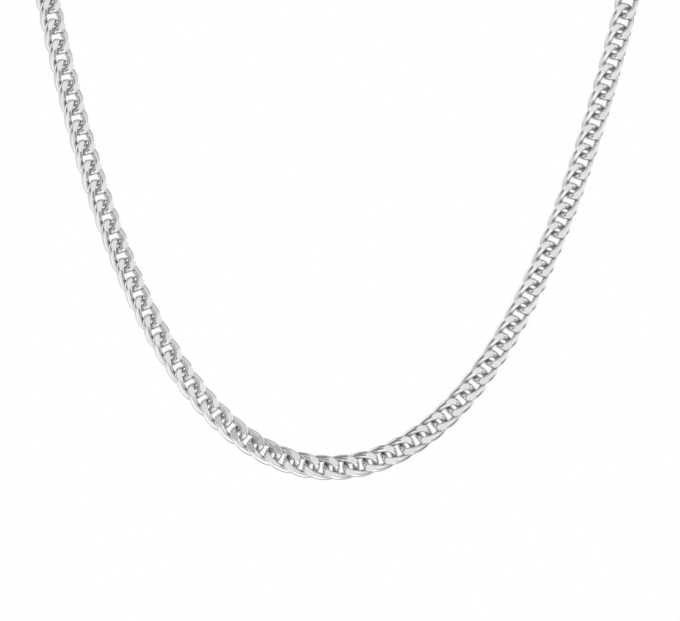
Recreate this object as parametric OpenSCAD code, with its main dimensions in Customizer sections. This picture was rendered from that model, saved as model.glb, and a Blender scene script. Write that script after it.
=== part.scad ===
// Curb chain necklace, hung as it is worn. Millimetres.
// X runs left to right, the front faces -Y and Z is up.
// The origin is the middle of the clasp's inner face, which rests on the nape.
// The front of the loop is a flat catenary; from there each arm turns back round the neck to the clasp.

/* [Chain] */
// Links on each side of the lowest point
links_per_side = 62; // [56:1:66]
// Spacing of the links where the chain pulls straight
pitch = 4.0; // [3.95:0.01:4.1]
// How much nearer the lowest point each arm sits because the bent links close up
closing_up = 1.44; // [0:0.01:1.44]

/* [Link] */
// Length of one link over its wire
link_len = 6.9; // [6.8:0.01:6.95]
// Width of one link over its wire, which is the width of the chain
link_w = 4.5; // [4.45:0.01:4.55]
// Diameter of the wire
wire_d = 1.3; // [1.1:0.01:1.3]
// Radius at the link's four round corners, along the middle of the wire
corner_r = 1.13; // [1:0.01:1.3]
// How far each end of a link is turned out of the chain's plane
end_twist = 56; // [54:1:58]
// Thickness of the chain between its two filed faces
filed_t = 2.4; // [2:0.05:3.2]
// Rings of points round a link
link_sides = 10; // [10:2:16]
// Sides of the wire
wire_sides = 6; // [6]

/* [Hang] */
// Radius of the bend at the lowest point
low_r = 25.3; // [24:0.1:30]
// Length of each arm that hangs flat in front
front_len = 114; // [100:1:124]
// Height of the clasp above the top of the flat front
nape_rise = 48; // [36:1:52]
// How far the arm keeps rising before it turns back over the shoulder
shoulder_reach = 50; // [40:1:60]
// How far the arm runs sideways beside the clasp
nape_reach = 45; // [40:1:50]
// How far the face of the chain tips up over the shoulder
shoulder_tip = 35; // [0:1:60]

/* [Clasp] */
// Length of the clasp over its hook and its tail eye
clasp_len = 12; // [11.5:0.1:13]
// Width of the clasp across its hook
clasp_w = 5.4; // [5.2:0.1:6]
// Thickness of the clasp's body
clasp_t = 1.2; // [1:0.1:1.2]
// Width of the slot that the hook closes round
slot_w = 3.2; // [3.1:0.1:3.4]
// Outer diameter of the tail eye
eye_d = 4.2; // [4:0.1:4.4]
// Thickness of the tail eye
eye_t = 0.9; // [0.8:0.1:1]
// Metal left round the slot and the eye at the clasp's two ends
clasp_bar = 0.9; // [0.8:0.05:1]
// Diameter of a jump ring's wire
ring_wire = 0.8; // [0.7:0.05:0.8]
// How far a jump ring leans from the flat of the clasp
ring_lean = 22; // [16:1:24]
// Air left between the clasp's end and the nearest link
ring_gap = 0.4; // [0.3:0.05:0.6]

/* [Hidden] */

DEG = 180 / PI;
wire_r = wire_d / 2;
// Half length and half width of the oval that the middle of the wire follows
oval_a = link_len / 2 - wire_r;
oval_b = link_w / 2 - wire_r;
side_run = oval_a - corner_r;
end_run = oval_b - corner_r;
corner_run = corner_r * PI / 2;
quarter_run = side_run + corner_run + end_run;
step = 0.01;

// Middle plane of the clasp and of the links beside it
nape_y = clasp_t / 2;
// The last link's middle, and the ring's two ends, middle and radius, all measured from the clasp's middle
last_link_x = clasp_len / 2 + ring_gap + link_len / 2;
ring_clear = 0.4;
ring_x1 = clasp_len / 2 - clasp_bar - ring_wire / 2 - ring_clear;
ring_x2 = clasp_len / 2 + ring_gap + wire_d + ring_wire / 2 + ring_clear;
ring_mid_x = (ring_x1 + ring_x2) / 2;
ring_r = (ring_x2 - ring_x1) / 2;

// The clasp from its round hook end at +X, by its slot, to the round shoulder that holds the tail eye at -X
hook_r = clasp_w / 2;
hook_x = clasp_len / 2 - hook_r;
eye_x = -clasp_len / 2 + eye_d / 2;
tail_r = 1.5;
weld = 0.2;
tail_x = eye_x + eye_d / 2 - clasp_bar + tail_r;
slot_x2 = clasp_len / 2 - clasp_bar;
slot_end_r = 0.9;
slot_x1 = tail_x + 0.6;

// Arc length from the lowest point to the middle of link k, counting 0.5, 1.5 and so on
function link_at(k) = pitch * k - closing_up * atan(pitch * k / low_r) / DEG;
arm_len = link_at(links_per_side - 0.5);
back_len = arm_len - front_len;

// The flat front is a catenary
function front_x(s) = low_r * ln(s / low_r + sqrt(s * s / low_r / low_r + 1));
function front_z(s) = sqrt(low_r * low_r + s * s) - low_r;
function front_dir(s) = [low_r, 0, s] / sqrt(low_r * low_r + s * s);

// The back of each arm is one cubic curve from the top of the flat front to the last link
function cubic(p, u) =
    let (v = 1 - u)
    v * v * v * p[0] + 3 * v * v * u * p[1] + 3 * v * u * u * p[2] + u * u * u * p[3];
function back_corners(depth) =
    let (
        start = [front_x(front_len), -depth, -nape_rise],
        end = [last_link_x, nape_y, 0]
    )
    [start, start + shoulder_reach * front_dir(front_len), end + [nape_reach, 0, 0], end];
function sum(v, i = 0) = i < len(v) ? v[i] + sum(v, i + 1) : 0;
curve_steps = 60;
function back_pieces(depth) =
    let (p = back_corners(depth))
    [for (i = [1 : curve_steps]) norm(cubic(p, i / curve_steps) - cubic(p, (i - 1) / curve_steps))];
// The depth of the loop is what makes the back as long as the links that it holds
function depth_for(run, low, high, tries) =
    let (mid = (low + high) / 2)
    tries == 0 ? mid
    : sum(back_pieces(mid)) > run ? depth_for(run, low, mid, tries - 1)
    : depth_for(run, mid, high, tries - 1);
loop_depth = depth_for(back_len, 20, 140, 24);
low_z = -nape_rise - front_z(front_len);

corners = back_corners(loop_depth);
pieces = back_pieces(loop_depth);
function running(v, i = 0, t = 0) =
    i == len(v) ? [[t, 1]]
    : concat([[t, i / len(v)]], running(v, i + 1, t + v[i]));
back_table = running(pieces);

// Place, direction and outward face of the arm on the +X side, at arc length s
function place_at(s) =
    s <= front_len ? [front_x(s), -loop_depth, low_z + front_z(s)]
    : cubic(corners, lookup(s - front_len, back_table));
function unit(v) = v / norm(v);
function dir_at(s) = unit(place_at(s + step) - place_at(s - step));
function face_at(s) =
    let (
        u = s <= front_len ? 0 : lookup(s - front_len, back_table),
        turn = 180 * u,
        out = [sin(turn) * cos(shoulder_tip), -cos(turn), sin(turn) * sin(shoulder_tip)],
        d = dir_at(s)
    )
    unit(out - (out * d) * d);

// One link: a closed oval of wire whose two ends are turned out of plane in opposite directions
function quarter(m) =
    m < side_run ? [m, oval_b]
    : m < side_run + corner_run
        ? let (a = (m - side_run) / corner_r * DEG) [side_run + corner_r * sin(a), end_run + corner_r * cos(a)]
    : [oval_a, end_run - (m - side_run - corner_run)];
function oval(m) =
    let (
        lap = m - floor(m / quarter_run / 4) * quarter_run * 4,
        q = floor(lap / quarter_run),
        r = lap - q * quarter_run,
        p = quarter(q % 2 == 0 ? r : quarter_run - r)
    )
    [p.x * (q == 0 || q == 1 ? 1 : -1), p.y * (q == 0 || q == 3 ? 1 : -1)];
function wire_at(m) =
    let (p = oval(m), turn = end_twist * p.x / oval_a)
    [p.x, p.y * cos(turn), p.y * sin(turn)];
function clamped(z) = max(-filed_t / 2, min(filed_t / 2, z));
function wire_ring(m) =
    let (
        c = wire_at(m),
        along = unit(wire_at(m + step) - wire_at(m - step)),
        out = unit(c - (c * along) * along),
        across = cross(along, out)
    )
    [for (j = [0 : wire_sides - 1])
        let (a = j * 360 / wire_sides, p = c + wire_r * (cos(a) * out + sin(a) * across))
        [p.x, p.y, clamped(p.z)]];
link_points = [for (i = [0 : link_sides - 1]) each wire_ring(i * 4 * quarter_run / link_sides)];
function corner_at(i, j) = (i % link_sides) * wire_sides + j % wire_sides;
link_faces = [for (i = [0 : link_sides - 1], j = [0 : wire_sides - 1])
    each [
        [corner_at(i, j), corner_at(i + 1, j), corner_at(i + 1, j + 1)],
        [corner_at(i, j), corner_at(i + 1, j + 1), corner_at(i, j + 1)]
    ]];

module curb_link() {
    polyhedron(link_points, link_faces);
}

// side is 1 for +X and -1 for -X: the left arm is run the other way, so every link has the same hand
module set_link(k, side) {
    s = link_at(k);
    flip = [side, 1, 1];
    place = [for (i = [0 : 2]) place_at(s)[i] * flip[i]];
    along = [for (i = [0 : 2]) dir_at(s)[i] * flip[i] * side];
    face = [for (i = [0 : 2]) face_at(s)[i] * flip[i]];
    inner = cross(face, along);
    multmatrix([for (i = [0 : 2]) [along[i], inner[i], face[i], place[i]]])
        curb_link();
}

module arm(side) {
    for (n = [0 : links_per_side - 1])
        set_link(n + 0.5, side);
}

module chain_left() {
    color("silver")
        arm(-1);
}

module chain_right() {
    color("silver")
        arm(1);
}

// A ring stands across the clasp and across the last link's turned end
module jump_ring(side) {
    translate([side * ring_mid_x, nape_y, 0])
        rotate([-side * ring_lean, 0, 0])
            rotate_extrude($fn = 48)
                translate([ring_r, 0])
                    circle(d = ring_wire, $fn = 24);
}

module jump_ring_left() {
    color("gainsboro")
        jump_ring(-1);
}

module jump_ring_right() {
    color("gainsboro")
        jump_ring(1);
}

// Flat outline of the clasp's body: a round hook end that narrows to the tail
module clasp_outline() {
    lean = asin((hook_r - tail_r) / (hook_x - tail_x));
    edge = [-sin(lean), cos(lean)];
    hook_edge = [hook_x, 0] + hook_r * edge;
    tail_edge = [tail_x, 0] + tail_r * edge;
    polygon([hook_edge, tail_edge, [tail_edge.x, -tail_edge.y], [hook_edge.x, -hook_edge.y]]);
    translate([hook_x, 0])
        circle(r = hook_r, $fn = 48);
    translate([tail_x, 0])
        circle(r = tail_r, $fn = 48);
}

module clasp_slot() {
    translate([slot_x2 - slot_w / 2, 0])
        circle(d = slot_w, $fn = 48);
    translate([slot_x1 + slot_end_r, 0])
        circle(r = slot_end_r, $fn = 48);
    translate([slot_x1 + slot_end_r, -slot_end_r])
        square([slot_x2 - slot_w / 2 - slot_x1 - slot_end_r, 2 * slot_end_r]);
}

// The clasp lies flat on the nape, hook to +X, as one solid with its lever shut
module lobster_clasp() {
    color("gainsboro")
        translate([0, nape_y, 0])
            rotate([90, 0, 0])
                union() {
                    linear_extrude(height = clasp_t, center = true)
                        difference() {
                            clasp_outline();
                            clasp_slot();
                        }
                    linear_extrude(height = eye_t, center = true)
                        difference() {
                            translate([eye_x, 0])
                                circle(d = eye_d, $fn = 48);
                            translate([eye_x, 0])
                                circle(d = eye_d - 2 * clasp_bar, $fn = 48);
                            translate([tail_x, 0])
                                circle(r = tail_r - weld, $fn = 48);
                        }
                }
}

chain_left();
chain_right();
jump_ring_left();
jump_ring_right();
lobster_clasp();
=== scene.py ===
import math

import bmesh
import bpy
import numpy as np
from bpy.props import FloatProperty, FloatVectorProperty, IntProperty, PointerProperty
from mathutils import Matrix, Vector


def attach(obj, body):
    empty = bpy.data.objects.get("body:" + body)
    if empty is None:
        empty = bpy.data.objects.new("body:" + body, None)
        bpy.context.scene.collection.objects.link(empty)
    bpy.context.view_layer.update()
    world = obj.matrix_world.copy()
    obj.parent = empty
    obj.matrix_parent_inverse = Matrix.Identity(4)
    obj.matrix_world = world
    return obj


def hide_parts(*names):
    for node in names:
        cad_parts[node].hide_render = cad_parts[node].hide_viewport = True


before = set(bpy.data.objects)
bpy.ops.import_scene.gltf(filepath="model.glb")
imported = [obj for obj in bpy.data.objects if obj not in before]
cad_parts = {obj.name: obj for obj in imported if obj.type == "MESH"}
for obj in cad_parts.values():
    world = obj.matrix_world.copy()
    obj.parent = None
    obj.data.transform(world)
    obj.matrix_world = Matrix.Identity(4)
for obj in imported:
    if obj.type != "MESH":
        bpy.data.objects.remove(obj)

bl_info = {
    "name": "Curb chain necklace",
    "version": (1, 0, 0),
    "blender": (4, 5, 0),
    "location": "3D View > Sidebar > Necklace",
    "description": "Dresses a curb chain necklace: twisted silver links, jump rings, clasp and studio",
    "category": "Object",
}

MM = 0.001
MICRON = 0.001 * MM
QUARTER_TURN = math.radians(90)
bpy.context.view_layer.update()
SIDES = {"left": -1, "right": 1}

# What the photograph takes in: where its middle is from the chain's lowest point, its width, and how far it
# leans, in degrees
PHOTO_MIDDLE_X = 1.66 * MM
PHOTO_MIDDLE_RISE = 30.14 * MM
PHOTO_WIDTH = 130.2 * MM
PHOTO_LEAN = 1.035
# Width of the camera's sensor in millimetres
SENSOR_W = 36.0

# Points on the fine lines from which a link's oval and the clasp's outlines take theirs
OVAL_POINTS = 8001
OUTLINE_POINTS = 1441
# Sections round a jump ring and round the clasp, and sides of each section
RING_SECTIONS = 96
RING_SIDES = 24
CLASP_SECTIONS = 144
CLASP_SIDES = 32
# Metres within which a point lies on a plane
ON_PLANE = 1e-7
# How far from the next link's wire the painted shade and tarnish of a crossing have faded to about a third
RECESS_REACH = 0.3 * MM
# Where the random numbers start for the tone of the links and for their play
TONE_SEED = 7
PLAY_SEED = 11
# How far apart the silver's pattern is on the palest link and the greyest, in millimetres
PATTERN_SHIFT = (37, 91, 53)

FLOOR_R = 3000 * MM
FLOOR_SIDES = 96
FLOOR_ROUGHNESS = 0.9

# What the silver mirrors: a grey room with soft lights in it. Each row is a light's name, its direction in
# degrees to the right of the camera's side and above the horizon, its radius in degrees and its strength
ROOM_GREY = 0.24
SOFT_LIGHTS = (
    ("white card round the camera", 8, 7, 18, 0.6),
    ("wall, right of the camera", 50, 10, 30, 0.6),
    ("softbox, left of the camera", -40, 24, 15, 0.55),
    ("window, right", 112, 12, 28, 1.0),
    ("window, left", -105, 20, 25, 0.7),
    ("ceiling", 30, 66, 34, 0.5),
    ("white table", 0, -60, 40, 0.6),
    ("reflector, low right", 79, -62, 30, 0.4),
    ("reflector, low left", -94, -40, 35, 0.5),
    ("white backdrop", 180, 5, 60, 0.4),
)
# How far inside and outside its radius a light fades, as a share of the radius
LIGHT_FADE = 0.25


# Colours and nodes


def from_hex(code):
    """An sRGB hex colour as the linear RGBA that Blender's sockets take."""
    parts = [int(code[i:i + 2], 16) / 255 for i in (1, 3, 5)]
    linear = [p / 12.92 if p <= 0.04045 else ((p + 0.055) / 1.055) ** 2.4 for p in parts]
    return (*linear, 1.0)


def in_use(sockets, label=None):
    """The first of a node's sockets that is in use, or the first of those with this name."""
    return next(socket for socket in sockets if socket.enabled and label in (None, socket.name))


def set_inputs(tree, node, inputs):
    """Gives inputs, by name or number, a value or a link. A node stands for its first output in use."""
    for label, value in inputs.items():
        socket = node.inputs[label] if isinstance(label, int) else in_use(node.inputs, label)
        if isinstance(value, bpy.types.Node):
            value = in_use(value.outputs)
        if isinstance(value, bpy.types.NodeSocket):
            tree.links.new(value, socket)
        else:
            socket.default_value = value


def add_node(tree, kind, inputs=None, **settings):
    """Adds a node with its settings, its values and its links."""
    node = tree.nodes.new(kind)
    for name, value in settings.items():
        setattr(node, name, value)
    set_inputs(tree, node, inputs or {})
    return node


# What a user would change


def length(name, text, mm, **limits):
    return FloatProperty(name=name, description=text, default=mm * MM, unit="LENGTH", precision=5, **limits)


def angle(name, text, degrees):
    return FloatProperty(name=name, description=text, default=math.radians(degrees), unit="ROTATION")


class LinkSizes(bpy.types.PropertyGroup):
    link_len: length("Length", "Length of one link over its wire", 7.2, min=6 * MM)
    link_w: length("Width", "Width of one link over its wire", 4.8, min=4 * MM)
    wire_d: length("Wire", "Diameter of the wire", 1.43, min=0.8 * MM)
    square: FloatProperty(
        name="Squareness", description="2 is an ellipse, more is a squarer oval",
        default=4.0, min=2.0, max=5.0)
    end_twist: angle("End twist", "How far each end of a link is turned out of the chain's plane", 50.0)
    filed_t: length("Filed thickness", "Thickness between the chain's two filed faces", 2.85, min=1 * MM)
    rings: IntProperty(name="Rings", description="Rings of points round a link", default=64, min=16, max=72)
    wire_sides: IntProperty(name="Wire sides", description="Sides of the wire", default=24, min=8, max=24)
    play: angle("Play", "How far links sit unevenly in each other", 0.8)


class HangSizes(bpy.types.PropertyGroup):
    links_per_side: IntProperty(
        name="Links a side", description="Links on each side of the lowest point",
        default=62, min=56, max=66)
    pitch: length("Spacing", "Spacing of the links where the chain pulls straight", 4.0)
    closing_up: length("Closing up", "How far links close up along the chain for a radian of bend", 1.44)
    low_r: length("Lowest bend", "Radius of the bend at the lowest point", 25.3)
    front_len: length("Flat front", "Length of each arm that hangs flat in front", 114.0)
    nape_rise: length("Nape rise", "Height of the clasp above the top of the flat front", 48.0)
    shoulder_reach: length("Shoulder reach", "How far the arm keeps rising before it turns back", 50.0)
    nape_reach: length("Nape reach", "How far the arm runs sideways beside the clasp", 45.0)
    shoulder_tip: angle("Shoulder tip", "How far the chain's face tips up over the shoulder", 35.0)
    last_link_x: length("Last link", "Distance from the clasp's middle to the last link's middle", 9.85)
    nape_y: length("Nape plane", "Distance from the nape to the clasp's middle plane", 0.6)
    roll_left: angle("Roll, left", "Turn of the chain's face about its length at the top left", -24.0)
    roll_low: angle("Roll, lowest", "The same at the lowest point", -8.0)
    roll_right: angle("Roll, right", "The same at the top right", 2.0)
    slide_left: length("Slide, left", "How far right along the chain its links sit at the top left", 0.2)
    slide_low: length("Slide, lowest", "The same at the lowest point", 0.48)
    slide_right: length("Slide, right", "The same at the top right", 0.76)


class FindingSizes(bpy.types.PropertyGroup):
    clasp_len: length("Clasp length", "Length of the clasp over its hook and its tail eye", 12.0)
    clasp_w: length("Clasp width", "Width of the clasp across its hook", 5.4)
    clasp_t: length("Clasp thickness", "Thickness of the clasp's body", 1.2)
    tail_r: length("Tail", "Radius of the shoulder that holds the tail eye", 1.5)
    tail_x: length("Tail place", "Middle of that shoulder from the clasp's middle", -1.2)
    slot_w: length("Slot", "Width of the slot that the hook closes round", 3.2)
    slot_end_r: length("Slot end", "Radius of the slot's narrow end", 0.9)
    slot_end_x: length("Slot end place", "Middle of the narrow end from the clasp's middle", 0.3)
    eye_d: length("Eye", "Outer diameter of the tail eye", 4.2)
    eye_t: length("Eye thickness", "Thickness of the tail eye", 0.9)
    clasp_bar: length("Bar", "Metal left round the slot and the eye at the clasp's two ends", 0.9)
    ring_wire: length("Ring wire", "Diameter of a jump ring's wire", 0.8)
    ring_r: length("Ring radius", "Radius of a jump ring along the middle of its wire", 2.1)
    ring_x: length("Ring place", "Distance from the clasp's middle to a ring's middle", 6.4)
    ring_lean: angle("Ring lean", "How far a ring leans from the flat of the clasp", 22.0)
    squareness: FloatProperty(
        name="Squareness", description="How square the clasp's metal is in section: 2 is round",
        default=4.5, min=2.0)


class StageSizes(bpy.types.PropertyGroup):
    camera_distance: length("Camera distance", "From the camera to the flat front of the chain", 1000.0)
    floor_drop: length("Floor", "How far the floor is below the nape", 420.0)
    floor_colour: FloatVectorProperty(
        name="Floor colour", description="Paint of the pale floor", subtype="COLOR", size=4,
        default=from_hex("#F4F4F3"), min=0.0, max=1.0)


# The course that the chain hangs along


class Course:
    """Where the arm on the +X side runs, by the length s of chain from the lowest point. It hangs flat in
    front as a chain does, and then runs round the neck on one cubic curve, drawn by four corners."""

    CURVE_STEPS = 60
    STEP = 0.01 * MM
    LEAST_DEPTH = 20 * MM
    MOST_DEPTH = 140 * MM
    HALVINGS = 24

    def __init__(self, hang):
        self.hang = hang
        arm_len = self.link_at(hang.links_per_side - 0.5)
        self.depth = self.depth_for(arm_len - hang.front_len)
        self.low_z = -hang.nape_rise - self.front(hang.front_len).z
        self.corners = self.back_corners(self.depth)
        self.runs = self.back_runs(self.corners)

    def link_at(self, k):
        """How far along the chain k spacings reach. They are shorter in the bend."""
        hang = self.hang
        return hang.pitch * k - hang.closing_up * math.atan(hang.pitch * k / hang.low_r)

    def front(self, s):
        """A place on the flat front, from the lowest point: the curve that a hanging chain takes."""
        r = self.hang.low_r
        return Vector((r * math.asinh(s / r), 0, math.hypot(r, s) - r))

    def front_dir(self, s):
        """Which way the flat front runs."""
        r = self.hang.low_r
        return Vector((r, 0, s)) / math.hypot(r, s)

    def back_corners(self, depth):
        """The corners that draw the curve from the top of the flat front to the nape."""
        hang = self.hang
        start = Vector((self.front(hang.front_len).x, -depth, -hang.nape_rise))
        end = Vector((hang.last_link_x, hang.nape_y, 0))
        rise = hang.shoulder_reach * self.front_dir(hang.front_len)
        return [start, start + rise, end + Vector((hang.nape_reach, 0, 0)), end]

    @staticmethod
    def cubic(p, u):
        """A place on the curve that the corners p draw, from u = 0 at its start to u = 1 at its end."""
        v = 1 - u
        return v * v * v * p[0] + 3 * v * v * u * p[1] + 3 * v * u * u * p[2] + u * u * u * p[3]

    def back_runs(self, corners):
        """Length run at each even step of the curve round the neck."""
        marks = [self.cubic(corners, i / self.CURVE_STEPS) for i in range(self.CURVE_STEPS + 1)]
        steps = [(b - a).length for a, b in zip(marks, marks[1:])]
        return np.concatenate([[0.0], np.cumsum(steps)])

    def depth_for(self, run):
        """The depth of the loop at which the back is as long as the links that it holds."""
        low, high = self.LEAST_DEPTH, self.MOST_DEPTH
        for _ in range(self.HALVINGS):
            mid = (low + high) / 2
            if self.back_runs(self.back_corners(mid))[-1] > run:
                high = mid
            else:
                low = mid
        return (low + high) / 2

    def share(self, s):
        """Where s lies on the curve round the neck, from 0 at its start to 1 at its end."""
        steps = np.linspace(0, 1, self.CURVE_STEPS + 1)
        return float(np.interp(s - self.hang.front_len, self.runs, steps))

    def place(self, s):
        if s <= self.hang.front_len:
            return self.front(s) + Vector((0, -self.depth, self.low_z))
        return self.cubic(self.corners, self.share(s))

    def direction(self, s):
        return (self.place(s + self.STEP) - self.place(s - self.STEP)).normalized()

    def face(self, s):
        """Which way the chain's flat face looks: forwards in front, backwards at the nape."""
        turn = math.pi * (self.share(s) if s > self.hang.front_len else 0.0)
        tip = self.hang.shoulder_tip
        out = Vector((math.sin(turn) * math.cos(tip), -math.cos(turn), math.sin(turn) * math.sin(tip)))
        along = self.direction(s)
        return (out - out.dot(along) * along).normalized()

    def settled(self, s, low, top):
        """A value that goes from low at the lowest point to top in the arm, and to 0 behind the neck."""
        if s > self.hang.front_len:
            return top * (1 - self.share(s)) ** 2
        return low + (top - low) * s / math.hypot(s, self.hang.low_r)

    def links(self, side):
        """Place, direction and outward face of every link of one arm. Both arms run from left to right."""
        hang = self.hang
        mirror = Vector((side, 1, 1))
        top_roll, top_slide = (
            (hang.roll_right, hang.slide_right) if side > 0 else (hang.roll_left, hang.slide_left))
        for n in range(hang.links_per_side):
            s = self.link_at(n + 0.5)
            s += side * self.settled(s, hang.slide_low, top_slide)
            along = self.direction(s) * mirror * side
            roll = Matrix.Rotation(self.settled(s, hang.roll_low, top_roll), 3, along)
            yield self.place(s) * mirror, along, roll @ (self.face(s) * mirror)


# Making meshes

# The corners of a face, as steps along the loop and round its section. Their order makes the face look out,
# and a tube's sections are drawn one way round and a bar's the other
TUBE_CORNERS = ((0, 0), (0, 1), (1, 1), (1, 0))
BAR_CORNERS = ((0, 0), (1, 0), (1, 1), (0, 1))


def new_object(name, data):
    made = bpy.data.objects.new(name, data)
    bpy.context.scene.collection.objects.link(made)
    return made


def set_attribute(mesh, name, kind, domain, values):
    made = mesh.attributes.new(name, kind, domain)
    field = "vector" if kind == "FLOAT_VECTOR" else "value"
    made.data.foreach_set(field, np.asarray(values, np.float32).ravel())


def even_points(line, count):
    """Points an even way apart on a closed line, whose last point is its first again."""
    run = np.concatenate([[0], np.cumsum(np.linalg.norm(np.diff(line, axis=0), axis=1))])
    even = np.linspace(0, run[-1], count, endpoint=False)
    return np.stack([np.interp(even, run, column) for column in line.T], 1)


def squared_oval(turn, squareness):
    """Both coordinates of a circle of radius 1, which a squareness above 2 makes squarer."""
    ways = np.stack([np.cos(turn), np.sin(turn)])
    return np.sign(ways) * np.abs(ways) ** (2 / squareness)


def loop_faces(count, sides, corners, first=0):
    """The faces between count sections with so many sides, in a loop that closes."""
    return [
        tuple(first + (i + di) % count * sides + (j + dj) % sides for di, dj in corners)
        for i in range(count) for j in range(sides)
    ]


def tube_mesh(name, path, radius, sides):
    """A closed ring of round wire along path, whose points run once round the origin of the path."""
    ahead = np.roll(path, -1, 0) - np.roll(path, 1, 0)
    ahead /= np.linalg.norm(ahead, axis=1)[:, None]
    out = path - (path * ahead).sum(1)[:, None] * ahead
    out /= np.linalg.norm(out, axis=1)[:, None]
    across = np.cross(ahead, out)
    turn = np.arange(sides) * 2 * np.pi / sides
    ring = np.cos(turn)[None, :, None] * out[:, None] + np.sin(turn)[None, :, None] * across[:, None]
    points = (path[:, None] + radius * ring).reshape(-1, 3)
    mesh = bpy.data.meshes.new(name)
    mesh.from_pydata(points.tolist(), [], loop_faces(len(path), sides, TUBE_CORNERS))
    return mesh


def link_path(sizes):
    """The middle line of a link: a squarish oval whose ends are turned out of plane in opposite ways."""
    half_len = (sizes.link_len - sizes.wire_d) / 2
    half_w = (sizes.link_w - sizes.wire_d) / 2
    along, across = squared_oval(np.linspace(0, 2 * np.pi, OVAL_POINTS), sizes.square)
    twist = sizes.end_twist * along
    line = np.stack([half_len * along, half_w * across * np.cos(twist), half_w * across * np.sin(twist)], 1)
    return even_points(line, sizes.rings)


def file_flat(mesh, half):
    """Cuts both faces of a link flat, as a file does, and closes the cuts."""
    form = bmesh.new()
    form.from_mesh(mesh)
    for way in (1, -1):
        everything = form.verts[:] + form.edges[:] + form.faces[:]
        cut = bmesh.ops.bisect_plane(
            form, geom=everything, dist=ON_PLANE, plane_co=(0, 0, way * half), plane_no=(0, 0, way),
            clear_outer=True)
        rim = [e for e in cut["geom_cut"] if isinstance(e, bmesh.types.BMEdge)]
        if rim:
            bmesh.ops.holes_fill(form, edges=rim, sides=0)
            for edge in rim:
                edge.smooth = False
    bmesh.ops.recalc_face_normals(form, faces=form.faces)
    for face in form.faces:
        face.smooth = True
    form.to_mesh(mesh)
    form.free()


def link_mesh(sizes, pitch):
    """One link, with what its finish needs: each point's place on it, how deep in a crossing the point is,
    and which faces are filed."""
    path = link_path(sizes)
    mesh = tube_mesh("curb_link", path, sizes.wire_d / 2, sizes.wire_sides)
    file_flat(mesh, sizes.filed_t / 2)
    points = np.empty(len(mesh.vertices) * 3)
    mesh.vertices.foreach_get("co", points)
    points = points.reshape(-1, 3)
    set_attribute(mesh, "link_co", "FLOAT_VECTOR", "POINT", points / MM)
    # How deep in a crossing each point is, for the painted shade and tarnish there
    near = [np.linalg.norm(points[:, None] - path - [way * pitch, 0, 0], axis=2).min(1) for way in (1, -1)]
    gap = np.minimum(*near) - sizes.wire_d / 2
    set_attribute(mesh, "recess", "FLOAT", "POINT", np.exp(-np.clip(gap, 0, None) / RECESS_REACH))
    filed = [abs(abs(face.center.z) - sizes.filed_t / 2) < ON_PLANE for face in mesh.polygons]
    set_attribute(mesh, "filed", "FLOAT", "FACE", filed)
    return mesh


def ring_mesh(sizes):
    """A closed jump ring of round wire, lying round the middle of its own plane."""
    turn = np.arange(RING_SECTIONS) * 2 * np.pi / RING_SECTIONS
    path = sizes.ring_r * np.stack([np.cos(turn), np.sin(turn), np.zeros(RING_SECTIONS)], 1)
    mesh = tube_mesh("jump_ring", path, sizes.ring_wire / 2, RING_SIDES)
    mesh.shade_smooth()
    return mesh


def clasp_outline(x1, r1, x2, r2):
    """Even points on the line drawn tight round two circles on the X axis, from the +X tip round."""
    turn = np.linspace(0, 2 * np.pi, OUTLINE_POINTS)
    looks = np.stack([np.cos(turn), np.sin(turn)], 1)
    first = (x1 * looks[:, 0] + r1 > x2 * looks[:, 0] + r2)[:, None]
    line = np.where(first, [x1, 0] + r1 * looks, [x2, 0] + r2 * looks)
    return even_points(line, CLASP_SECTIONS)


def bar_points(outer, inner, thickness, squareness):
    """The points of a rounded bar that fills the metal between two outlines."""
    middle = (outer + inner) / 2
    reach = (outer - inner) / 2
    wide, deep = squared_oval(np.arange(CLASP_SIDES) * 2 * np.pi / CLASP_SIDES, squareness)
    flat = middle[:, None] + wide[None, :, None] * reach[:, None]
    height = np.broadcast_to(deep[None, :, None] * thickness / 2, (*flat.shape[:2], 1))
    return np.concatenate([flat, height], 2).reshape(-1, 3)


def clasp_mesh(sizes):
    """The clasp as one casting: a body that closes round its slot, and the tail eye grown into it."""
    hook_r = sizes.clasp_w / 2
    hook_x = sizes.clasp_len / 2 - hook_r
    slot_x = sizes.clasp_len / 2 - sizes.clasp_bar - sizes.slot_w / 2
    eye_x = (sizes.eye_d - sizes.clasp_len) / 2
    body = bar_points(
        clasp_outline(hook_x, hook_r, sizes.tail_x, sizes.tail_r),
        clasp_outline(slot_x, sizes.slot_w / 2, sizes.slot_end_x, sizes.slot_end_r),
        sizes.clasp_t, sizes.squareness)
    eye = bar_points(
        clasp_outline(eye_x, sizes.eye_d / 2, eye_x, 0),
        clasp_outline(eye_x, sizes.eye_d / 2 - sizes.clasp_bar, eye_x, 0),
        sizes.eye_t, sizes.squareness)
    faces = [
        face for first in (0, len(body))
        for face in loop_faces(CLASP_SECTIONS, CLASP_SIDES, BAR_CORNERS, first)
    ]
    mesh = bpy.data.meshes.new("lobster_clasp")
    mesh.from_pydata([*body.tolist(), *eye.tolist()], [], faces)
    mesh.shade_smooth()
    return mesh


def course_mesh(name, course, side):
    """One point for each link, with the ways it runs and faces as attributes."""
    places, ways, faces = zip(*course.links(side))
    mesh = bpy.data.meshes.new(name)
    mesh.from_pydata(places, [], [])
    set_attribute(mesh, "along", "FLOAT_VECTOR", "POINT", ways)
    set_attribute(mesh, "face", "FLOAT_VECTOR", "POINT", faces)
    return mesh


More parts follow.
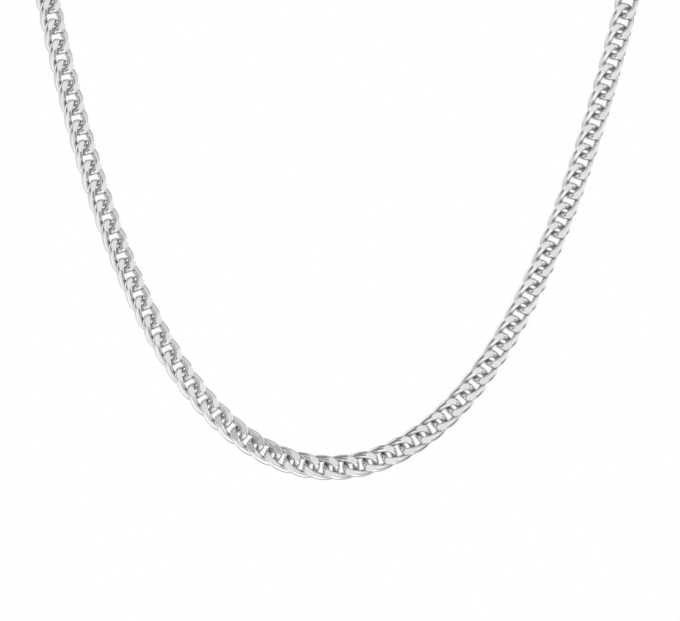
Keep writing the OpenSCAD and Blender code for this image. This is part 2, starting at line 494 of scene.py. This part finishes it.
def links_tree():
    """Sets one link on each point of the course, turned to run and face as the point says."""
    tree = bpy.data.node_groups.new("Links along the course", "GeometryNodeTree")
    sockets = tree.interface
    sockets.new_socket("Course", in_out="INPUT", socket_type="NodeSocketGeometry")
    sockets.new_socket("Link", in_out="INPUT", socket_type="NodeSocketObject")
    sockets.new_socket("Silver", in_out="INPUT", socket_type="NodeSocketMaterial")
    sockets.new_socket("Play", in_out="INPUT", socket_type="NodeSocketFloat").subtype = "ANGLE"
    sockets.new_socket("Seed", in_out="INPUT", socket_type="NodeSocketInt")
    sockets.new_socket("Chain", in_out="OUTPUT", socket_type="NodeSocketGeometry")
    given = add_node(tree, "NodeGroupInput").outputs
    # Each link runs along the chain and faces out of it
    along = add_node(tree, "GeometryNodeInputNamedAttribute", {"Name": "along"}, data_type="FLOAT_VECTOR")
    out = add_node(tree, "GeometryNodeInputNamedAttribute", {"Name": "face"}, data_type="FLOAT_VECTOR")
    run = add_node(tree, "FunctionNodeAlignRotationToVector", {"Vector": along}, axis="X")
    faced = add_node(
        tree, "FunctionNodeAlignRotationToVector", {"Rotation": run, "Vector": out},
        axis="Z", pivot_axis="X")
    # It sits a little unevenly in the next ones
    least = add_node(tree, "ShaderNodeMath", {0: given["Play"], 1: -1.0}, operation="MULTIPLY")
    chance = add_node(
        tree, "FunctionNodeRandomValue", {"Min": least, "Max": given["Play"], "Seed": given["Seed"]},
        data_type="FLOAT_VECTOR")
    loose = add_node(tree, "FunctionNodeEulerToRotation", {"Euler": chance})
    turned = add_node(
        tree, "FunctionNodeRotateRotation", {"Rotation": faced, "Rotate By": loose}, rotation_space="LOCAL")
    link = add_node(tree, "GeometryNodeObjectInfo", {"Object": given["Link"]}, transform_space="ORIGINAL")
    placed = add_node(
        tree, "GeometryNodeInstanceOnPoints",
        {"Points": given["Course"], "Instance": link.outputs["Geometry"], "Rotation": turned})
    # It has a tone of its own
    tone = add_node(tree, "FunctionNodeRandomValue", {"Seed": TONE_SEED}, data_type="FLOAT")
    toned = add_node(
        tree, "GeometryNodeStoreNamedAttribute", {"Geometry": placed, "Name": "link_tone", "Value": tone},
        data_type="FLOAT", domain="INSTANCE")
    real = add_node(tree, "GeometryNodeRealizeInstances", {"Geometry": toned})
    dressed = add_node(tree, "GeometryNodeSetMaterial", {"Geometry": real, "Material": given["Silver"]})
    add_node(tree, "NodeGroupOutput", {"Chain": dressed})
    return tree


def grown(name, seedling):
    """Turns an object's evaluated result into a plain mesh in an object of its own."""
    depsgraph = bpy.context.evaluated_depsgraph_get()
    mesh = bpy.data.meshes.new_from_object(seedling.evaluated_get(depsgraph))
    made = new_object(name, mesh)
    old = seedling.data
    bpy.data.objects.remove(seedling)
    bpy.data.meshes.remove(old)
    return made


# Finishes


def new_material(name, inputs):
    """A material, its node tree and its shader, with what the shader's inputs are all over."""
    made = bpy.data.materials.new(name)
    made.use_nodes = True
    shader = made.node_tree.nodes["Principled BSDF"]
    set_inputs(made.node_tree, shader, inputs)
    return made, made.node_tree, shader


def object_mm(tree):
    """Where a point lies on the object, in millimetres."""
    place = add_node(tree, "ShaderNodeTexCoord").outputs["Object"]
    return add_node(tree, "ShaderNodeVectorMath", {0: place, "Scale": 1 / MM}, operation="SCALE")


def mottle(tree, place, per_mm, stretch=(1, 1, 1), detail=2.0):
    """Soft spots, per_mm of them to a millimetre, drawn out along an axis where stretch is below 1."""
    spread = add_node(
        tree, "ShaderNodeVectorMath", {0: place, 1: [per_mm * part for part in stretch]},
        operation="MULTIPLY")
    return add_node(tree, "ShaderNodeTexNoise", {"Vector": spread, "Scale": 1.0, "Detail": detail})


def scratches(tree, place, *ways):
    """1 along hair-thin lines and 0 between them. The lines run two ways. Each way is its angle in degrees,
    its lines to a millimetre, and a line's width as a share of the range of the spots it is drawn from."""
    drawn = []
    for degrees, per_mm, width in ways:
        turned = add_node(
            tree, "ShaderNodeVectorRotate", {"Vector": place, "Angle": math.radians(degrees)},
            rotation_type="Z_AXIS")
        # A line runs where long spots pass through their middle grey
        spots = mottle(tree, turned, per_mm, stretch=(0.12, 1, 1), detail=0.0)
        off = add_node(tree, "ShaderNodeMath", {0: spots, 1: 0.5}, operation="SUBTRACT")
        far = add_node(tree, "ShaderNodeMath", {0: off}, operation="ABSOLUTE")
        line = add_node(
            tree, "ShaderNodeMapRange", {"Value": far, "From Max": width, "To Min": 1.0, "To Max": 0.0})
        # Only some places are scratched
        patch = mottle(tree, place, per_mm / 3, detail=0.0)
        some = add_node(tree, "ShaderNodeMath", {0: patch, 1: 0.6}, operation="GREATER_THAN")
        drawn.append(add_node(tree, "ShaderNodeMath", {0: line, 1: some}, operation="MULTIPLY"))
    return add_node(tree, "ShaderNodeMath", dict(enumerate(drawn)), operation="MAXIMUM")


def polished_silver():
    """Sterling silver wire, filed and buffed. To the eye: mirror-bright, a little wavy as hand-buffed metal
    is, with fine file lines on its flats, and greyer and duller deep in the crossings, where painted shade
    darkens it along with the tarnish that the buff doesn't reach."""
    silver, tree, shader = new_material("filed_and_buffed_sterling_silver", {"Metallic": 1.0})
    tone, recess, filed = (
        add_node(tree, "ShaderNodeAttribute", attribute_name=name).outputs["Fac"]
        for name in ("link_tone", "recess", "filed"))
    own = add_node(tree, "ShaderNodeAttribute", attribute_name="link_co").outputs["Vector"]
    place = add_node(
        tree, "ShaderNodeVectorMath", {0: tone, 1: PATTERN_SHIFT, 2: own}, operation="MULTIPLY_ADD")
    # Painted shade in the crossings, with grey tarnish and old polish, in uneven patches
    patches = add_node(
        tree, "ShaderNodeMapRange",
        {"Value": mottle(tree, place, per_mm=1.4), "From Min": 0.3, "From Max": 0.7, "To Min": 0.6})
    tarnish_and_painted_shade = add_node(tree, "ShaderNodeMath", {0: recess, 1: patches}, operation="MULTIPLY")
    # No two links come off the buff quite the same: some are a shade greyer
    metal = add_node(
        tree, "ShaderNodeMix", {"Factor": tone, "A": from_hex("#F9F9FA"), "B": from_hex("#F3F3F3")},
        data_type="RGBA")
    # The crossings are painted a darker grey: painted shade, with tarnish
    colour = add_node(
        tree, "ShaderNodeMix", {"Factor": tarnish_and_painted_shade, "A": metal, "B": from_hex("#8F8F90")}, data_type="RGBA")
    # A mirror polish, a little cloudy, up to 0.05 rougher along the file's lines and 0.16 in the crossings
    lines = mottle(tree, place, per_mm=22.0, stretch=(0.05, 1, 1))
    track = add_node(tree, "ShaderNodeMath", {0: filed, 1: lines}, operation="MULTIPLY")
    cloud = add_node(
        tree, "ShaderNodeMapRange",
        {"Value": mottle(tree, place, per_mm=0.9), "To Min": 0.035, "To Max": 0.085})
    satin = add_node(tree, "ShaderNodeMath", {0: track, 1: 0.05, 2: cloud}, operation="MULTIPLY_ADD")
    rough = add_node(tree, "ShaderNodeMath", {0: tarnish_and_painted_shade, 1: 0.16, 2: satin}, operation="MULTIPLY_ADD")
    # Buffing leaves the wire faintly wavy, and wear leaves hairlines on it
    waves = add_node(
        tree, "ShaderNodeBump",
        {"Height": mottle(tree, place, per_mm=1.3, detail=1.0), "Distance": 7.0 * MICRON})
    filing = add_node(tree, "ShaderNodeBump", {"Height": track, "Distance": 0.5 * MICRON, "Normal": waves})
    wear = scratches(tree, place, (25, 2.4, 0.008), (-60, 1.8, 0.006))
    worn = add_node(
        tree, "ShaderNodeBump", {"Height": wear, "Distance": 0.8 * MICRON, "Normal": filing}, invert=True)
    set_inputs(tree, shader, {"Base Color": colour, "Roughness": rough, "Normal": worn})
    return silver


def tumbled_silver():
    """Silver wire tumbled with steel shot. To the eye: bright, with the faint orange peel of tumbling, a
    soft bloom and the short scuffs of a ring that rubs on what it joins."""
    silver, tree, shader = new_material("tumbled_sterling_silver_wire", {"Metallic": 1.0})
    place = object_mm(tree)
    bloom = add_node(
        tree, "ShaderNodeMapRange",
        {"Value": mottle(tree, place, per_mm=0.8), "From Min": 0.35, "From Max": 0.7})
    colour = add_node(
        tree, "ShaderNodeMix", {"Factor": bloom, "A": from_hex("#F7F7F8"), "B": from_hex("#DEDDDB")},
        data_type="RGBA")
    scuffs = scratches(tree, place, (70, 3.0, 0.012), (15, 2.5, 0.01))
    dull = add_node(tree, "ShaderNodeMath", {0: bloom, 1: 0.08, 2: 0.07}, operation="MULTIPLY_ADD")
    rough = add_node(tree, "ShaderNodeMath", {0: scuffs, 1: 0.12, 2: dull}, operation="MULTIPLY_ADD")
    peel = add_node(
        tree, "ShaderNodeBump",
        {"Height": mottle(tree, place, per_mm=5.0, detail=1.0), "Distance": 2.5 * MICRON})
    worn = add_node(
        tree, "ShaderNodeBump", {"Height": scuffs, "Distance": 1.5 * MICRON, "Normal": peel}, invert=True)
    set_inputs(tree, shader, {"Base Color": colour, "Roughness": rough, "Normal": worn})
    return silver


def cast_silver():
    """Cast silver, polished by hand. To the eye: bright but less even than the wire, with the slow waves of
    casting, lines from the polishing brush along its length, fine scratches from use and a grey bloom in
    patches."""
    silver, tree, shader = new_material("polished_cast_sterling_silver", {"Metallic": 1.0})
    place = object_mm(tree)
    bloom = add_node(
        tree, "ShaderNodeMapRange",
        {"Value": mottle(tree, place, per_mm=0.5), "From Min": 0.4, "From Max": 0.75})
    colour = add_node(
        tree, "ShaderNodeMix", {"Factor": bloom, "A": from_hex("#F4F4F4"), "B": from_hex("#CAC9C6")},
        data_type="RGBA")
    brushed = mottle(tree, place, per_mm=14.0, stretch=(0.06, 1, 1))
    dull = add_node(tree, "ShaderNodeMath", {0: bloom, 1: 0.10, 2: 0.06}, operation="MULTIPLY_ADD")
    rough = add_node(tree, "ShaderNodeMath", {0: brushed, 1: 0.07, 2: dull}, operation="MULTIPLY_ADD")
    waves = add_node(
        tree, "ShaderNodeBump",
        {"Height": mottle(tree, place, per_mm=0.7, detail=1.0), "Distance": 9.0 * MICRON})
    lines = add_node(tree, "ShaderNodeBump", {"Height": brushed, "Distance": 0.6 * MICRON, "Normal": waves})
    wear = scratches(tree, place, (35, 1.6, 0.008), (-50, 1.2, 0.006))
    worn = add_node(
        tree, "ShaderNodeBump", {"Height": wear, "Distance": 1.5 * MICRON, "Normal": lines}, invert=True)
    set_inputs(tree, shader, {"Base Color": colour, "Roughness": rough, "Normal": worn})
    return silver


# The operators


class NECKLACE_OT_links(bpy.types.Operator):
    """Makes both arms of interlocking curb links"""
    bl_idname = "necklace.links"
    bl_label = "Make links"

    def execute(self, context):
        scene = context.scene
        sizes = scene.necklace_link
        link = new_object("curb_link", link_mesh(sizes, scene.necklace_hang.pitch))
        silver = polished_silver()
        tree = links_tree()
        course = Course(scene.necklace_hang)
        sockets = {s.name: s.identifier for s in tree.interface.items_tree if s.in_out == "INPUT"}
        for name, side in SIDES.items():
            arm = new_object(f"{name}_course", course_mesh(f"{name}_course", course, side))
            grow = arm.modifiers.new("Links", "NODES")
            grow.node_group = tree
            given = {"Link": link, "Silver": silver, "Play": sizes.play, "Seed": PLAY_SEED + side}
            for label, value in given.items():
                grow[sockets[label]] = value
            piece = grown(f"{name}_links", arm)
            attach(piece, "root")
            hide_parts(f"chain_{name}")
        bpy.data.objects.remove(link)
        return {"FINISHED"}


class NECKLACE_OT_rings(bpy.types.Operator):
    """Makes the two jump rings that join the last links to the clasp"""
    bl_idname = "necklace.rings"
    bl_label = "Make jump rings"

    def execute(self, context):
        sizes = context.scene.necklace_findings
        nape_y = context.scene.necklace_hang.nape_y
        silver = tumbled_silver()
        for name, side in SIDES.items():
            mesh = ring_mesh(sizes)
            lean = Matrix.Rotation(-side * sizes.ring_lean, 4, "X")
            mesh.transform(Matrix.Translation((side * sizes.ring_x, nape_y, 0)) @ lean)
            mesh.materials.append(silver)
            piece = new_object(f"{name}_ring", mesh)
            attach(piece, "root")
            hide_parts(f"jump_ring_{name}")
        return {"FINISHED"}


class NECKLACE_OT_clasp(bpy.types.Operator):
    """Makes the plain lobster clasp behind the neck"""
    bl_idname = "necklace.clasp"
    bl_label = "Make clasp"

    def execute(self, context):
        mesh = clasp_mesh(context.scene.necklace_findings)
        stand = Matrix.Rotation(QUARTER_TURN, 4, "X")
        mesh.transform(Matrix.Translation((0, context.scene.necklace_hang.nape_y, 0)) @ stand)
        mesh.materials.append(cast_silver())
        piece = new_object("clasp", mesh)
        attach(piece, "root")
        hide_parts("lobster_clasp")
        return {"FINISHED"}


class NECKLACE_OT_stage(bpy.types.Operator):
    """Sets the pale floor, the soft studio light and the camera"""
    bl_idname = "necklace.stage"
    bl_label = "Set stage"

    def execute(self, context):
        self.lay_floor(context.scene.necklace_stage)
        self.set_light(context.scene)
        self.stand_camera(context.scene)
        return {"FINISHED"}

    def lay_floor(self, stage):
        """A pale matt floor, which the silver doesn't mirror."""
        form = bmesh.new()
        bmesh.ops.create_circle(form, cap_ends=True, radius=FLOOR_R, segments=FLOOR_SIDES)
        mesh = bpy.data.meshes.new("floor")
        form.to_mesh(mesh)
        form.free()
        mesh.transform(Matrix.Translation((0, 0, -stage.floor_drop)))
        paint, _, _ = new_material(
            "matt_white_paint", {"Base Color": stage.floor_colour, "Roughness": FLOOR_ROUGHNESS})
        mesh.materials.append(paint)
        floor = new_object("floor", mesh)
        floor.visible_glossy = False

    def set_light(self, scene):
        """A white studio, in which the silver mirrors a greyer room with soft lights in it."""
        world = bpy.data.worlds.new("soft_studio")
        scene.world = world
        world.use_nodes = True
        tree = world.node_tree
        looks = add_node(tree, "ShaderNodeTexCoord").outputs["Generated"]
        total = ROOM_GREY
        for label, right, up, radius, strength in SOFT_LIGHTS:
            turn, rise, reach = (math.radians(value) for value in (right, up, radius))
            there = (math.sin(turn) * math.cos(rise), -math.cos(turn) * math.cos(rise), math.sin(rise))
            near = add_node(
                tree, "ShaderNodeVectorMath", {0: looks, 1: there}, operation="DOT_PRODUCT", label=label)
            dark = math.cos((1 + LIGHT_FADE) * reach)
            full = math.cos((1 - LIGHT_FADE) * reach)
            glow = add_node(
                tree, "ShaderNodeMapRange",
                {"Value": near, "From Min": dark, "From Max": full, "To Max": strength},
                interpolation_type="SMOOTHSTEP")
            total = add_node(tree, "ShaderNodeMath", {0: total, 1: glow}, operation="ADD")
        mirrored = add_node(tree, "ShaderNodeLightPath").outputs["Is Glossy Ray"]
        light = add_node(
            tree, "ShaderNodeMix", {"Factor": mirrored, "A": 1.0, "B": total}, data_type="FLOAT")
        set_inputs(tree, tree.nodes["Background"], {"Color": light})

    def stand_camera(self, scene):
        """Stands the camera straight in front, as the photo's was, with the photo's slight lean."""
        course = Course(scene.necklace_hang)
        distance = scene.necklace_stage.camera_distance
        lens = bpy.data.cameras.new("camera")
        lens.sensor_width = SENSOR_W
        lens.lens = SENSOR_W * distance / PHOTO_WIDTH
        camera = new_object("camera", lens)
        aim = Vector((PHOTO_MIDDLE_X, -course.depth, course.low_z + PHOTO_MIDDLE_RISE))
        camera.location = aim - Vector((0, distance, 0))
        upright = Matrix.Rotation(QUARTER_TURN, 3, "X")
        lean = Matrix.Rotation(math.radians(PHOTO_LEAN), 3, "Z")
        camera.rotation_euler = (upright @ lean).to_euler()
        scene.camera = camera
        scene.view_settings.view_transform = "Standard"


class NECKLACE_PT_panel(bpy.types.Panel):
    bl_idname = "NECKLACE_PT_panel"
    bl_label = "Curb chain necklace"
    bl_space_type = "VIEW_3D"
    bl_region_type = "UI"
    bl_category = "Necklace"

    def draw(self, context):
        for kind in MAKERS:
            self.layout.operator(kind.bl_idname)
        for name in GROUPS:
            sizes = getattr(context.scene, name)
            box = self.layout.box()
            for label in sizes.__annotations__:
                box.prop(sizes, label)


MAKERS = (NECKLACE_OT_links, NECKLACE_OT_rings, NECKLACE_OT_clasp, NECKLACE_OT_stage)
GROUPS = {
    "necklace_link": LinkSizes,
    "necklace_hang": HangSizes,
    "necklace_findings": FindingSizes,
    "necklace_stage": StageSizes,
}


def register():
    for kind in (*GROUPS.values(), *MAKERS, NECKLACE_PT_panel):
        bpy.utils.register_class(kind)
    for name, kind in GROUPS.items():
        setattr(bpy.types.Scene, name, PointerProperty(type=kind))


def unregister():
    for name in GROUPS:
        delattr(bpy.types.Scene, name)
    for kind in (NECKLACE_PT_panel, *MAKERS, *GROUPS.values()):
        bpy.utils.unregister_class(kind)


def main():
    register()
    bpy.ops.necklace.links()
    bpy.ops.necklace.rings()
    bpy.ops.necklace.clasp()
    bpy.ops.necklace.stage()


if __name__ == "__main__":
    main()
